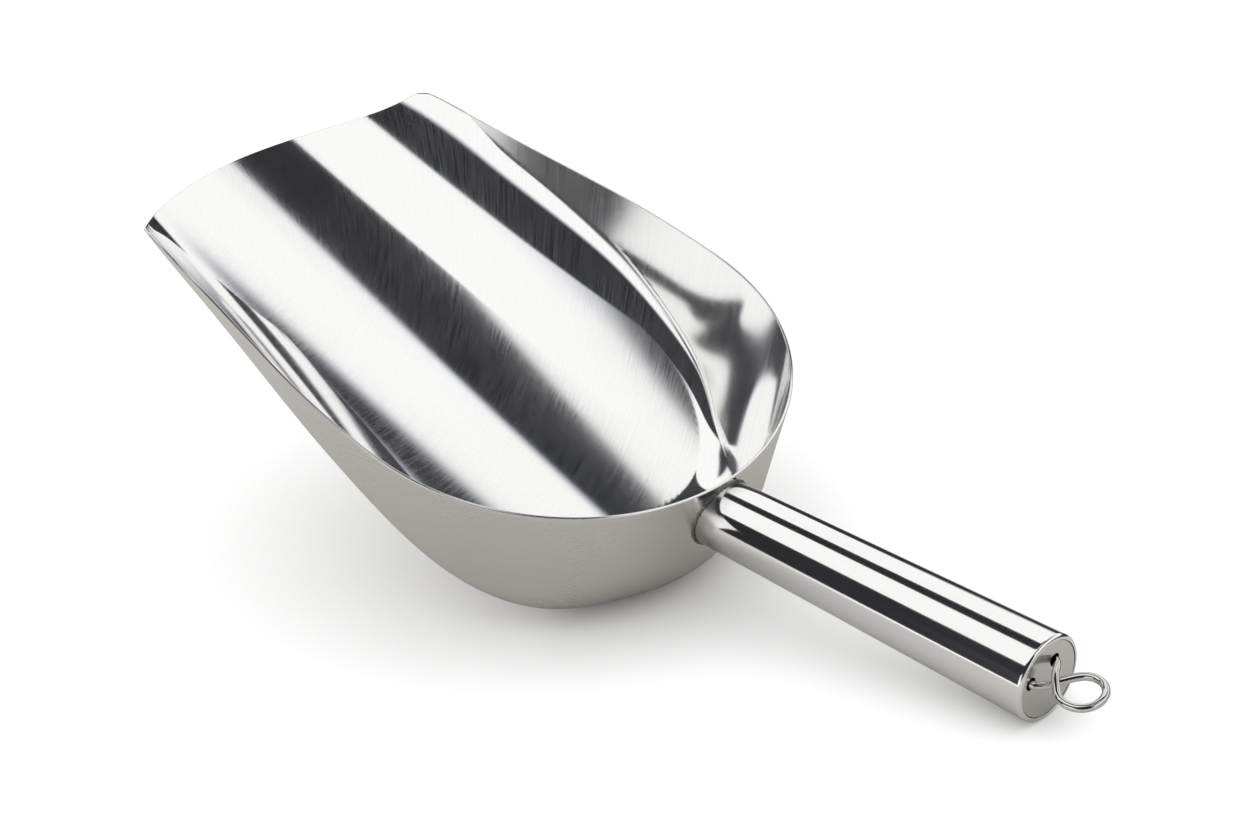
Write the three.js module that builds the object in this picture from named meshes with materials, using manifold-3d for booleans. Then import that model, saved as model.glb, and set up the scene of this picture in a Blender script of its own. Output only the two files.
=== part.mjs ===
// Ice scoop: a deep pressed stainless bowl, a tapered tube handle welded to its back wall,
// a flat end cap and a crossed-wire hanging loop.
// Millimetres, +Z up. The scoop sits the way it rests on a table: tipped back on the heel of the
// bowl and on the lower edge of the handle's end. +X runs from the handle to the pouring lip,
// +Y is the left side seen from the handle, y = 0 is the plane of symmetry of bowl and handle.
// Origin: middle of the bounding box in X and Y, table level in Z.
import * as THREE from "three";
import { ParametricGeometry } from "three/addons/geometries/ParametricGeometry.js";
import { mergeVertices } from "three/addons/utils/BufferGeometryUtils.js";
import Module from "manifold-3d";

const { degToRad, smoothstep } = THREE.MathUtils;

// ---------------------------------------------------------------- driving dimensions
// Bowl. Its own axes: x to the lip, y to the left, z square to the rim plane, origin in the rim
// plane on the centre of the rounded back.
const SHEET = 1.0; // sheet thickness
// Rim outline: polar angle from the lip direction in degrees, radius
const RIM = [
  [180, 76.42], [160, 76.48], [140, 77.0], [120, 77.95], [100, 78.65],
  [80, 80.05], [60, 88.15], [45, 101.7], [32, 125.5], [26.13, 142.35],
];
const BACK_RADIUS = RIM[0][1];
const CORNER_X = 127.8; // lip corner
const CORNER_Y = 62.7;
const CORNER_PULL = 0.77; // how far the lip corner is drawn in, to ease it in plan
const LIP_BULGE = 31.9; // how far the lip's middle stands ahead of its corners
const LIP_POWER = 2.25;
const SIDE_DRAFT = 0.3; // how far the side walls lean out, per mm of depth
const BACK_DRAFT = 0.04; // and the back wall
const TURN_FROM = 0.25; // angles from the back between which the back turns into the sides
const TURN_TO = 1.25;
const HEEL_DEPTH = 69.2; // floor below the rim plane at the back wall
const FLOOR_RISE = 0.1877; // slope of the floor's middle line towards the rim plane, per mm
const CROWN_WIDTH = CORNER_Y; // distance from the middle at which the floor's crown is given
const CROWN_HEEL = 7.9; // how far the trough-shaped floor has risen there, at the heel
const CROWN_RISE = 9.3; // and how much more for each 100 mm towards the lip
const CROWN_POWER = 2.2;
const FLAT_HALF = 9; // half width of the flat strip along the floor, which the scoop rests on
const BEND_BACK = 46.8; // bend radius between floor and wall at the back
const BEND_SIDE = 5.7; // along the sides
const BEND_LIP = 7.5; // and at the lip corners
const LIP_BEND_FROM = 30; // x between which the bend eases to its radius at the lip corners
const LIP_BEND_TO = 120;

// Handle: a straight tapered tube, cut to the back wall
const HANDLE_ANGLE = degToRad(12.08); // its axis above the rim plane, going away from the bowl
const JOINT_X = -73.18; // where its axis meets the back wall
const JOINT_Z = -14.46;
const HANDLE_LENGTH = 132;
const R_JOINT = 11.3; // outside radius at the bowl
const R_END = 14; // outside radius at the end cap
const TUBE_WALL = 1.5;
const TUBE_START = -4; // the uncut tube starts this far along its axis, inside the bowl
const END_ROUND = 1.0; // rounding of the tube's rear edge
const WALL_GAP = 0.3; // between the tube's mouth and the back wall
const SIDES = 48; // facets round the tube, weld and cap

// Weld fillet round the tube on the back wall
const WELD_LEG = 1.3;
const WELD_EDGE = 0.4; // thickness added outwards along the handle
const WELD_WALL_GAP = 0.2; // clear of the wall
const WELD_TUBE_GAP = 0.12; // clear of the tube
const WELD_TIP_GAP = 0.04; // added to that clearance at the end along the tube

// End cap, a disc let into the end of the tube
const CAP_THICK = 1.2;
const CAP_SET_BACK = 0.25; // outer face of the cap below the tube's rear edge
const CAP_CLEARANCE = 0.1; // between the cap's outer edge and the tube's inside radius at its end
const CAP_TAPER = 0.02; // inner face's radius smaller than the outer face's
const CAP_MIDDLE = HANDLE_LENGTH - CAP_SET_BACK - CAP_THICK / 2; // along the handle axis

// Hanging loop: one wire, its legs crossing in front of the cap
const WIRE = 2.6; // wire diameter
const WIRE_SIDES = 10;
const WIRE_STEPS = 72;
const RING_R = 7.0; // ring radius on the wire's centre line
const RING_OUT = 14.6; // ring centre in front of the cap's middle plane
const RING_STEPS = 13;
const CROSS_OUT = 5.4; // where the legs cross, in front of the cap's middle plane
const CROSS_OFFSET = WIRE / 2 + 0.2; // each leg off the loop's plane at the crossing
const LEG_SPREAD = 5.6; // each leg's hole from the middle between the holes
const HOOK = 1.7; // the legs' turned-out ends behind the cap
const LOOP_LEFT = 2.7; // middle between the holes, left of the handle axis
const LOOP_UP = 4.0; // and above it
const LOOP_TWIST = degToRad(-14); // the loop turned about the handle axis, right side up
const HOLE_R = 2.1; // holes in the cap for the legs
const HOLE_SIDES = 24;

const PITCH = degToRad(20.79); // rim plane in the resting pose, lip up

// ---------------------------------------------------------------- materials
const steel = (color, roughness) =>
  new THREE.MeshStandardMaterial({ color, roughness, metalness: 1 });
const satin = () => steel(0xb9b7b2, 0.34);
const polished = () => steel(0xd6d6d4, 0.1);
const weldGrey = () => steel(0x8a8782, 0.45);

// ---------------------------------------------------------------- number helpers
const lerp = (from, to, share) => from + (to - from) * share;

// Natural cubic spline with a clamped zero slope at the first knot.
function spline(xs, ys) {
  const count = xs.length;
  const below = new Array(count).fill(0); // the three diagonals of the linear system
  const diagonal = new Array(count).fill(1);
  const above = new Array(count).fill(0);
  const right = new Array(count).fill(0); // and its right-hand side
  diagonal[0] = 2 * (xs[1] - xs[0]);
  above[0] = xs[1] - xs[0];
  right[0] = 6 * ((ys[1] - ys[0]) / (xs[1] - xs[0]));
  for (let i = 1; i < count - 1; i++) {
    const before = xs[i] - xs[i - 1];
    const after = xs[i + 1] - xs[i];
    below[i] = before;
    diagonal[i] = 2 * (before + after);
    above[i] = after;
    right[i] = 6 * ((ys[i + 1] - ys[i]) / after - (ys[i] - ys[i - 1]) / before);
  }
  for (let i = 1; i < count; i++) {
    const factor = below[i] / diagonal[i - 1];
    diagonal[i] -= factor * above[i - 1];
    right[i] -= factor * right[i - 1];
  }
  const second = new Array(count); // second derivatives at the knots
  second[count - 1] = right[count - 1] / diagonal[count - 1];
  for (let i = count - 2; i >= 0; i--) {
    second[i] = (right[i] - above[i] * second[i + 1]) / diagonal[i];
  }
  return (x) => {
    let i = 0;
    while (i < count - 2 && x > xs[i + 1]) i++;
    const span = xs[i + 1] - xs[i];
    const past = x - xs[i];
    const ahead = xs[i + 1] - x;
    return (
      (second[i] * ahead ** 3 + second[i + 1] * past ** 3) / (6 * span) +
      (ys[i] / span - (second[i] * span) / 6) * ahead +
      (ys[i + 1] / span - (second[i + 1] * span) / 6) * past
    );
  };
}

// The interval of a rising list that holds a value: its end index, and the share of it passed.
function locate(rising, value) {
  const end = rising.findIndex((entry) => entry >= value - 1e-9);
  const width = Math.max(1e-12, rising[end] - rising[end - 1]);
  return [end, (value - rising[end - 1]) / width];
}

// ---------------------------------------------------------------- mesh helpers
// Grid closed on itself across its columns; place(column, row) gives each point.
function ringGrid(columns, rows, place) {
  return new ParametricGeometry(
    (u, v, target) => {
      target.copy(place(Math.round(u * columns) % columns, Math.round(v * rows)));
    },
    columns,
    rows,
  );
}

// Keeps positions only, joins equal vertices, drops collapsed triangles, and faces outwards.
function tidy(geometry) {
  for (const name of Object.keys(geometry.attributes)) {
    if (name !== "position") geometry.deleteAttribute(name);
  }
  const merged = mergeVertices(geometry, 1e-4);
  const index = [];
  for (let i = 0; i < merged.index.count; i += 3) {
    const [a, b, c] = [0, 1, 2].map((corner) => merged.index.getX(i + corner));
    if (a !== b && b !== c && a !== c) index.push(a, b, c);
  }
  const position = merged.attributes.position;
  const point = (i) => new THREE.Vector3().fromBufferAttribute(position, index[i]);
  let volume = 0; // six times the enclosed volume, negative when the faces point inwards
  for (let i = 0; i < index.length; i += 3) {
    volume += point(i).dot(point(i + 1).cross(point(i + 2)));
  }
  if (volume < 0) {
    for (let i = 0; i < index.length; i += 3) {
      [index[i], index[i + 1]] = [index[i + 1], index[i]];
    }
  }
  merged.setIndex(index);
  merged.computeVertexNormals();
  return merged;
}

const wasm = await Module();
wasm.setup();

function toSolid(geometry) {
  const tidied = tidy(geometry);
  return new wasm.Manifold(
    new wasm.Mesh({
      numProp: 3,
      vertProperties: new Float32Array(tidied.attributes.position.array),
      triVerts: new Uint32Array(tidied.index.array),
    }),
  );
}

function fromSolid(solid) {
  const mesh = solid.getMesh();
  const geometry = new THREE.BufferGeometry();
  const positions = new Float32Array(mesh.vertProperties);
  geometry.setAttribute("position", new THREE.BufferAttribute(positions, 3));
  geometry.setIndex(new THREE.BufferAttribute(new Uint32Array(mesh.triVerts), 1));
  geometry.computeVertexNormals();
  return geometry;
}

// ---------------------------------------------------------------- rim outline
// Plan angles are measured from the back: 0 at the back, rising towards the lip on either side.
const backAngle = (x, y) => Math.PI - Math.atan2(Math.abs(y), x);
const CORNER_ANGLE = backAngle(CORNER_X, CORNER_Y);
const CORRECT_FROM = 1.2; // angle from which the spline is eased to meet the lip corner
const ANGLE_STEP = 1e-3; // for slopes of the rim radius

const rimSpline = spline(
  RIM.map(([degrees]) => degToRad(180 - degrees)),
  RIM.map(([, radius]) => radius),
);
const cornerError = Math.hypot(CORNER_X, CORNER_Y) - rimSpline(CORNER_ANGLE);

function sideRadius(angle) {
  const share = Math.max(0, (angle - CORRECT_FROM) / (CORNER_ANGLE - CORRECT_FROM));
  return rimSpline(angle) + cornerError * share ** 2;
}

// Direction in which the side reaches the lip corner
const cornerDirection = (() => {
  const angle = CORNER_ANGLE - 0.01;
  const radius = sideRadius(angle);
  return new THREE.Vector2(
    CORNER_X + radius * Math.cos(angle),
    CORNER_Y - radius * Math.sin(angle),
  ).normalize();
})();

const NO_RIM = 1e4; // radius where a ray misses the rim

// Rim radius at an angle; past the corner the side runs on as a straight line.
function rimRadius(angle) {
  if (angle <= CORNER_ANGLE) return sideRadius(angle);
  const { x, y } = cornerDirection;
  const cross = Math.cos(angle) * y + Math.sin(angle) * x;
  return cross > 1e-4 ? (CORNER_X * -y + CORNER_Y * x) / cross : NO_RIM;
}

function rimSlope(angle, limit) {
  const ahead = rimRadius(Math.min(angle + ANGLE_STEP, limit));
  const behind = rimRadius(Math.max(angle - ANGLE_STEP, 0));
  return (ahead - behind) / (2 * ANGLE_STEP);
}

// Distance inside the rim outline, measured square to it; negative outside.
function signedInset(x, y) {
  const angle = backAngle(x, y);
  const rim = rimRadius(angle);
  if (rim > NO_RIM / 2) return 1e3;
  return (rim - Math.hypot(x, y)) * (rim / Math.hypot(rim, rimSlope(angle, Math.PI)));
}
const inset = (x, y) => Math.max(0, signedInset(x, y));

// Counterclockwise from the middle of the lip: a left half closed by its mirror image
const closeWithMirror = (left, mirror) =>
  left.concat(left.slice(1, -1).reverse().map(mirror));

const RIM_STEPS = 30; // stations along each side from the corner to the middle of the back
const LIP_STEPS = 9; // stations along each half of the lip
const RIM_SAMPLES = 600; // fine steps for measuring the rim's length

function lipPoints() {
  const points = [];
  for (let i = 0; i <= LIP_STEPS; i++) {
    const share = i / LIP_STEPS;
    const x = CORNER_X + LIP_BULGE * (1 - share ** LIP_POWER);
    points.push(new THREE.Vector2(x, share * CORNER_Y));
  }
  return points;
}

// Even steps of length along the side, from after the corner to the middle of the back
function sidePoints() {
  const samples = [];
  for (let i = 0; i <= RIM_SAMPLES; i++) {
    const angle = lerp(CORNER_ANGLE, 0, i / RIM_SAMPLES);
    const radius = sideRadius(angle);
    samples.push(new THREE.Vector2(-radius * Math.cos(angle), radius * Math.sin(angle)));
  }
  const lengths = [0];
  for (let i = 1; i <= RIM_SAMPLES; i++) {
    lengths.push(lengths[i - 1] + samples[i].distanceTo(samples[i - 1]));
  }
  const points = [];
  for (let k = 1; k < RIM_STEPS; k++) {
    const [end, share] = locate(lengths, (lengths[RIM_SAMPLES] * k) / RIM_STEPS);
    points.push(samples[end - 1].clone().lerp(samples[end], share));
  }
  points.push(new THREE.Vector2(-BACK_RADIUS, 0));
  return points;
}

function leftOutline() {
  const lip = lipPoints();
  const side = sidePoints();
  // the corner is eased by pulling it in a little between its neighbours
  const corner = lip[LIP_STEPS];
  const middle = lip[LIP_STEPS - 1].clone().add(side[0]).multiplyScalar(0.5);
  const pull = corner.clone().sub(middle);
  corner.sub(pull.multiplyScalar(Math.min(1, CORNER_PULL / pull.length())));
  return lip.concat(side);
}

// ---------------------------------------------------------------- bowl surface
// 0 at the back, 1 along the sides
const sideShare = (x, y) => smoothstep(backAngle(x, y), TURN_FROM, TURN_TO);
const draft = (x, y) => lerp(BACK_DRAFT, SIDE_DRAFT, sideShare(x, y));

// Bend radius, easing from the back to the sides and on to the lip corners
function bendRadius(x, y) {
  const behindLip = lerp(BEND_BACK, BEND_SIDE, sideShare(x, y));
  return lerp(behindLip, BEND_LIP, smoothstep(x, LIP_BEND_FROM, LIP_BEND_TO));
}

// Outside surface of the floor
function floorZ(x, y) {
  const fromBack = x + BACK_RADIUS;
  const across = Math.max(0, Math.abs(y) - FLAT_HALF) / (CROWN_WIDTH - FLAT_HALF);
  const crown = CROWN_HEEL + (CROWN_RISE * fromBack) / 100;
  return -HEEL_DEPTH + FLOOR_RISE * fromBack + crown * across ** CROWN_POWER;
}

// Outside surface of the whole bowl: drafted wall, circular bend, floor
function bowlZ(x, y) {
  const depth = -floorZ(x, y);
  const inward = inset(x, y);
  const radius = bendRadius(x, y);
  const lean = draft(x, y);
  const leanAngle = Math.atan(lean);
  const wallDepth = depth - radius * (1 - Math.sin(leanAngle)); // of the wall above the bend
  let bendEnd; // inset at which the bend runs into the floor
  if (wallDepth > 0) {
    const wallRun = wallDepth * lean;
    if (inward <= wallRun) return -inward / lean;
    bendEnd = wallRun + radius * Math.cos(leanAngle);
  } else {
    bendEnd = Math.sqrt(Math.max(0, radius ** 2 - (radius - depth) ** 2));
  }
  if (inward >= bendEnd) return -depth;
  return -depth + radius - Math.sqrt(Math.max(0, radius ** 2 - (bendEnd - inward) ** 2));
}

// Upward unit normal of that surface; slopes are taken one-sided next to the rim.
function bowlNormal(x, y) {
  const step = 0.02;
  const here = bowlZ(x, y);
  const slope = (dx, dy) => {
    const ahead = bowlZ(x + dx, y + dy);
    const behind = bowlZ(x - dx, y - dy);
    if (inset(x + dx, y + dy) <= 0) return (here - behind) / step;
    if (inset(x - dx, y - dy) <= 0) return (ahead - here) / step;
    return (ahead - behind) / (2 * step);
  };
  return new THREE.Vector3(-slope(step, 0), -slope(0, step), 1).normalize();
}

// ---------------------------------------------------------------- scoop bowl
const POLE_X = 30; // point on the middle line from which the mesh rays run out to the rim
const RAY_STATIONS = 15;
const RAY_SAMPLES = 400;
const STATION_LENGTH = 13; // a station is spent on this much length
const STATION_BEND = 0.19; // or on this much turning, in radians
const EDGE_SHARE = 0.99995; // the edge's height and normal are taken just inside the rim

const rayX = (rim, share) => lerp(POLE_X, rim.x, share);
const rayY = (rim, share) => lerp(0, rim.y, share);

// Shares of the ray from the pole to the edge, closer together where the sheet bends
function rayShares(rim) {
  const samples = [];
  const points = [];
  for (let i = 0; i <= RAY_SAMPLES; i++) {
    const share = 1 - (1 - i / RAY_SAMPLES) ** 2;
    const x = rayX(rim, share);
    const y = rayY(rim, share);
    samples.push(share);
    points.push(new THREE.Vector3(x, y, bowlZ(x, y)));
  }
  const cost = [0];
  for (let i = 1; i <= RAY_SAMPLES; i++) {
    const step = points[i].clone().sub(points[i - 1]);
    let bend = 0;
    if (i > 1 && i < RAY_SAMPLES) {
      bend = step.angleTo(points[i - 1].clone().sub(points[i - 2]));
    }
    cost.push(cost[i - 1] + step.length() / STATION_LENGTH + bend / STATION_BEND);
  }
  const shares = [];
  for (let j = 1; j < RAY_STATIONS; j++) {
    const [end, part] = locate(cost, (cost[RAY_SAMPLES] * j) / RAY_STATIONS);
    shares.push(lerp(samples[end - 1], samples[end], part));
  }
  shares.push(1);
  return shares;
}

// An outside point and the inside point one sheet thickness above it
function sheetPair(outer, x, y) {
  return { outer, inner: outer.clone().addScaledVector(bowlNormal(x, y), SHEET) };
}

function bowlRay(rim) {
  return rayShares(rim).map((share) => {
    const x = rayX(rim, Math.min(share, EDGE_SHARE));
    const y = rayY(rim, Math.min(share, EDGE_SHARE));
    const plan = share === 1 ? rim : { x, y };
    return sheetPair(new THREE.Vector3(plan.x, plan.y, bowlZ(x, y)), x, y);
  });
}

function bowlGeometry() {
  const mirror = ({ x, y, z }) => new THREE.Vector3(x, -y, z);
  const leftRays = leftOutline().map(bowlRay);
  const rays = closeWithMirror(leftRays, (ray) =>
    ray.map(({ outer, inner }) => ({ outer: mirror(outer), inner: mirror(inner) })),
  );
  const pole = sheetPair(new THREE.Vector3(POLE_X, 0, bowlZ(POLE_X, 0)), POLE_X, 0);

  // from the pole out along the outside, over the edge and back along the inside
  const columns = rays.length;
  const rows = 2 * RAY_STATIONS + 1;
  const geometry = ringGrid(columns, rows, (k, j) => {
    if (j === 0) return pole.outer;
    if (j <= RAY_STATIONS) return rays[k][j - 1].outer;
    if (j < rows) return rays[k][2 * RAY_STATIONS - j].inner;
    return pole.inner;
  });

  // the right half is triangulated as the mirror image of the left half
  const index = [];
  const width = columns + 1;
  for (let j = 0; j < rows; j++) {
    for (let k = 0; k < columns; k++) {
      const a = j * width + k;
      const b = a + 1;
      const c = a + width + 1;
      const d = a + width;
      if (k < leftRays.length - 1) index.push(a, b, d, b, c, d);
      else index.push(a, b, c, a, c, d);
    }
  }
  geometry.setIndex(index);
  return tidy(geometry);
}

// ---------------------------------------------------------------- handle tube
// Handle axes: y along the handle away from the bowl, x to the right, z downwards, origin where
// the axis meets the outside of the back wall.
function frame(x, y, originX, originY, originZ) {
  const z = x.clone().cross(y);
  return new THREE.Matrix4().makeBasis(x, y, z).setPosition(originX, originY, originZ);
}
const handleFrame = frame(
  new THREE.Vector3(0, -1, 0),
  new THREE.Vector3(-Math.cos(HANDLE_ANGLE), 0, Math.sin(HANDLE_ANGLE)),
  JOINT_X, 0, JOINT_Z,
);

const tubeRadius = (y) => lerp(R_JOINT, R_END, y / HANDLE_LENGTH);

function tubeGeometry() {
  const boreRadius = (y) => tubeRadius(y) - TUBE_WALL;
  const roundStart = HANDLE_LENGTH - END_ROUND;
  const capSeat = HANDLE_LENGTH - CAP_SET_BACK - CAP_THICK;
  const roundSteps = 3;
  const profile = [
    [boreRadius(TUBE_START), TUBE_START],
    [tubeRadius(TUBE_START), TUBE_START],
    [tubeRadius(roundStart), roundStart],
  ];
  for (let i = 1; i <= roundSteps; i++) {
    const angle = (i / roundSteps) * (Math.PI / 2);
    profile.push([
      tubeRadius(HANDLE_LENGTH) - END_ROUND * (1 - Math.cos(angle)),
      HANDLE_LENGTH - END_ROUND * (1 - Math.sin(angle)),
    ]);
  }
  profile.push(
    [R_END - TUBE_WALL, HANDLE_LENGTH],
    [boreRadius(capSeat), capSeat],
    [boreRadius(TUBE_START), TUBE_START],
  );
  return new THREE.LatheGeometry(profile.map(([r, y]) => new THREE.Vector2(r, y)), SIDES);
}

// A body with the bowl's drafted outside wall, grown by WALL_GAP, to cut the tube's mouth
function wallCutter() {
  const top = 30;
  const bottom = -64;
  const outline = closeWithMirror(leftOutline(), ({ x, y }) => new THREE.Vector2(x, -y));
  const wallPoint = ({ x, y }, z) => {
    const radius = Math.hypot(x, y);
    const angle = backAngle(x, y);
    const slope = angle < CORNER_ANGLE ? rimSlope(angle, CORNER_ANGLE) : 0;
    const outward = z * draft(x, y) + WALL_GAP; // square to the outline
    const scale = (radius + (outward * Math.hypot(radius, slope)) / radius) / radius;
    return new THREE.Vector3(x * scale, y * scale, z);
  };
  const rows = 3;
  return toSolid(
    ringGrid(outline.length, rows, (k, j) => {
      if (j === 0) return new THREE.Vector3(0, 0, bottom);
      if (j === rows) return new THREE.Vector3(0, 0, top);
      return wallPoint(outline[k], j === 1 ? bottom : top);
    }),
  );
}

function handleGeometry() {
  const tube = toSolid(tubeGeometry().applyMatrix4(handleFrame));
  return fromSolid(tube.subtract(wallCutter()));
}

// ---------------------------------------------------------------- handle weld
const aroundHandle = (radius, angle, y) =>
  new THREE.Vector3(radius * Math.cos(angle), y, radius * Math.sin(angle));

// Where a line along the tube, radiusAt(y) from its axis, meets the outside of the back wall
function wallAt(angle, radiusAt) {
  let inside = -9;
  let outside = 14;
  for (let i = 0; i < 40; i++) {
    const middle = (inside + outside) / 2;
    const { x, y, z } = aroundHandle(radiusAt(middle), angle, middle).applyMatrix4(handleFrame);
    if (signedInset(x, y) + z * draft(x, y) > 0) inside = middle;
    else outside = middle;
  }
  return (inside + outside) / 2;
}

// A ring of roughly triangular section that follows the tube's mouth, clear of wall and tube
function weldGeometry() {
  const bulgeOut = 0.45; // the sloping face's middle point, across the weld leg
  const bulgeRise = 0.42; // and along the handle, both per weld leg
  const weldRadius = (y) => tubeRadius(y) + WELD_TUBE_GAP;
  const section = (angle) => {
    const near = wallAt(angle, weldRadius) + WELD_WALL_GAP;
    const far = wallAt(angle, (y) => weldRadius(y) + WELD_LEG) + WELD_WALL_GAP;
    const tip = near + WELD_LEG + WELD_EDGE;
    const radius = weldRadius(near);
    return [
      [radius, near],
      [radius + WELD_LEG, far],
      [radius + WELD_LEG, far + WELD_EDGE],
      [
        radius + WELD_LEG * bulgeOut,
        lerp(near, far, bulgeOut) + WELD_EDGE + WELD_LEG * bulgeRise,
      ],
      [weldRadius(tip) + WELD_TIP_GAP, tip],
    ].map(([r, y]) => aroundHandle(r, angle, y));
  };
  const sections = Array.from({ length: SIDES }, (_, k) => section((2 * Math.PI * k) / SIDES));
  const corners = sections[0].length;
  const geometry = ringGrid(SIDES, corners, (k, j) => sections[k][j % corners]);
  return tidy(geometry.applyMatrix4(handleFrame));
}

// ---------------------------------------------------------------- hanging loop
// Loop axes: origin in the cap's middle plane, midway between the leg holes, x through both
// holes, y outwards along the handle axis, z square to the loop.
const loopFrame = handleFrame.clone().multiply(
  frame(
    new THREE.Vector3(Math.cos(LOOP_TWIST), 0, Math.sin(LOOP_TWIST)),
    new THREE.Vector3(0, 1, 0),
    -LOOP_LEFT, CAP_MIDDLE, -LOOP_UP,
  ),
);

function loopPath() {
  // from the hook behind the left hole, through the hole, to the crossing: x, y, z
  const leg = [
    [-LEG_SPREAD - HOOK, -3.2, 0],
    [-LEG_SPREAD - HOOK * 0.45, -2.95, 0],
    [-LEG_SPREAD, -1.9, 0],
    [-LEG_SPREAD, 0, 0],
    [-LEG_SPREAD + 0.35, 1.6, 0.2],
    [-LEG_SPREAD * 0.52, 3.7, CROSS_OFFSET * 0.75],
    [0, CROSS_OUT, CROSS_OFFSET],
  ];
  // the legs run into the ring along its tangents
  const opening = Math.acos(RING_R / (RING_OUT - CROSS_OUT));
  const ring = [];
  for (let i = 0; i <= RING_STEPS; i++) {
    const share = i / RING_STEPS;
    const angle = lerp(-Math.PI / 2 + opening, (3 * Math.PI) / 2 - opening, share);
    ring.push([
      RING_R * Math.cos(angle),
      RING_OUT + RING_R * Math.sin(angle),
      CROSS_OFFSET * Math.cos(Math.PI * share) * 0.9, // from one side of the plane to the other
    ]);
  }
  // the other leg is the first turned half round the y axis
  const otherLeg = leg.map(([x, y, z]) => [-x, y, -z]).reverse();
  const points = [...leg, ...ring, ...otherLeg].map((point) => new THREE.Vector3(...point));
  return new THREE.CatmullRomCurve3(points, false, "centripetal");
}

function loopGeometry() {
  const section = [];
  for (let i = 0; i < WIRE_SIDES; i++) {
    const angle = (i / WIRE_SIDES) * 2 * Math.PI;
    section.push(
      new THREE.Vector2((WIRE / 2) * Math.cos(angle), (WIRE / 2) * Math.sin(angle)),
    );
  }
  const shape = new THREE.Shape(section);
  shape.closePath();
  const options = { steps: WIRE_STEPS, extrudePath: loopPath(), bevelEnabled: false };
  return tidy(new THREE.ExtrudeGeometry(shape, options));
}

// ---------------------------------------------------------------- end cap
// A disc with two holes for the loop's legs
function capGeometry() {
  const radius = R_END - TUBE_WALL - CAP_CLEARANCE;
  const disc = new THREE.CylinderGeometry(radius, radius - CAP_TAPER, CAP_THICK, SIDES);
  const capFrame = new THREE.Matrix4().makeTranslation(0, CAP_MIDDLE, 0).premultiply(handleFrame);
  let cap = toSolid(disc.applyMatrix4(capFrame));
  for (const side of [-1, 1]) {
    const hole = new THREE.CylinderGeometry(HOLE_R, HOLE_R, CAP_THICK * 4, HOLE_SIDES);
    hole.translate(side * LEG_SPREAD, 0, 0);
    cap = cap.subtract(toSolid(hole.applyMatrix4(loopFrame)));
  }
  return fromSolid(cap);
}

// ---------------------------------------------------------------- assembly
const scoop = new THREE.Group();
function add(name, geometry, material) {
  const mesh = new THREE.Mesh(geometry, material);
  mesh.name = name;
  scoop.add(mesh);
  return mesh;
}
add("scoop_bowl", bowlGeometry(), satin());
add("handle_tube", handleGeometry(), polished());
add("handle_weld", weldGeometry(), weldGrey());
add("end_cap", capGeometry(), satin());
add("hanging_loop", loopGeometry(), polished()).applyMatrix4(loopFrame);

// resting pose, then centred in plan and set down on the table
scoop.rotation.y = -PITCH;
const root = new THREE.Group();
root.add(scoop);
root.updateMatrixWorld(true);
const box = new THREE.Box3().setFromObject(root, true);
scoop.position.set(-(box.min.x + box.max.x) / 2, -(box.min.y + box.max.y) / 2, -box.min.z);
root.updateMatrixWorld(true);

export default root;
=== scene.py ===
"""Ice scoop: a sheet steel bowl, a welded tube handle with an end cap, and a wire hanging loop.

Shapes are worked out in millimetres in the bowl's axes: +x towards the lip, -x towards the
handle, +y left, +z up, with the rim's plane at z = 0. to_row() pitches the bowl lip-up and
puts it in the row frame, in metres, on the floor at z = 0.
"""
import bpy
import math
import numpy as np
from mathutils import Matrix, Vector
from mathutils.geometry import delaunay_2d_cdt


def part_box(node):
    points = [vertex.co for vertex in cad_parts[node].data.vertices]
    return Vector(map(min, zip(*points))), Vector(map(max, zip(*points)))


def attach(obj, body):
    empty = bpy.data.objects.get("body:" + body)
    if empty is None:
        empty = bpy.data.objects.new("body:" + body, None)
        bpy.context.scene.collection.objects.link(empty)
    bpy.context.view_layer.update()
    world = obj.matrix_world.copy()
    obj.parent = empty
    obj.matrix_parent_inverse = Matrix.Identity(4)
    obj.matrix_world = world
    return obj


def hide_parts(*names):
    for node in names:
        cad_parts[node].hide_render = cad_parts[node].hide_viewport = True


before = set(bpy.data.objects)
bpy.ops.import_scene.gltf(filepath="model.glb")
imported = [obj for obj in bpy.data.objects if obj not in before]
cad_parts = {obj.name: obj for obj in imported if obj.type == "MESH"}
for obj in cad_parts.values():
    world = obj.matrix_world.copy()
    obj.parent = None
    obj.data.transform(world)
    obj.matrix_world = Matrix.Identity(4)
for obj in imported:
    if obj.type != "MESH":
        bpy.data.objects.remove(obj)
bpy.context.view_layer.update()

# ---------------------------------------------------------------- driving dimensions, mm
SHEET = 1.0
# rim in plan: angle from +x in degrees, radius from the bowl's origin
RIM = np.array([
    (180, 76.42), (160, 76.48), (140, 77.0), (120, 77.95), (100, 78.65),
    (80, 80.05), (60, 88.15), (45, 101.7), (32, 125.5), (26.13, 142.35),
])
BACK_RADIUS = RIM[0, 1]
CORNER_X, CORNER_Y = 127.8, 62.7            # where rim and lip meet
CORNER_PULL_FROM = 1.2                      # rim angle where it starts to bend to the corner
LIP_BULGE, LIP_POWER = 31.9, 2.25
SIDE_DRAFT, BACK_DRAFT = 0.3, 0.04          # the wall's inward run per mm of depth
TURN_FROM, TURN_TO = 0.25, 1.25             # radians from -x: back wall turns into side wall
HEEL_DEPTH, FLOOR_RISE = 69.2, 0.1877
CROWN_HEEL, CROWN_RISE, CROWN_WIDTH, CROWN_POWER = 7.9, 9.3, 62.7, 2.7
BEND_BACK, BEND_SIDE, BEND_LIP = 46.8, 5.7, 7.5     # radii between wall and floor
BEND_LIP_FROM, BEND_LIP_LENGTH = 30, 90

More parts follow.
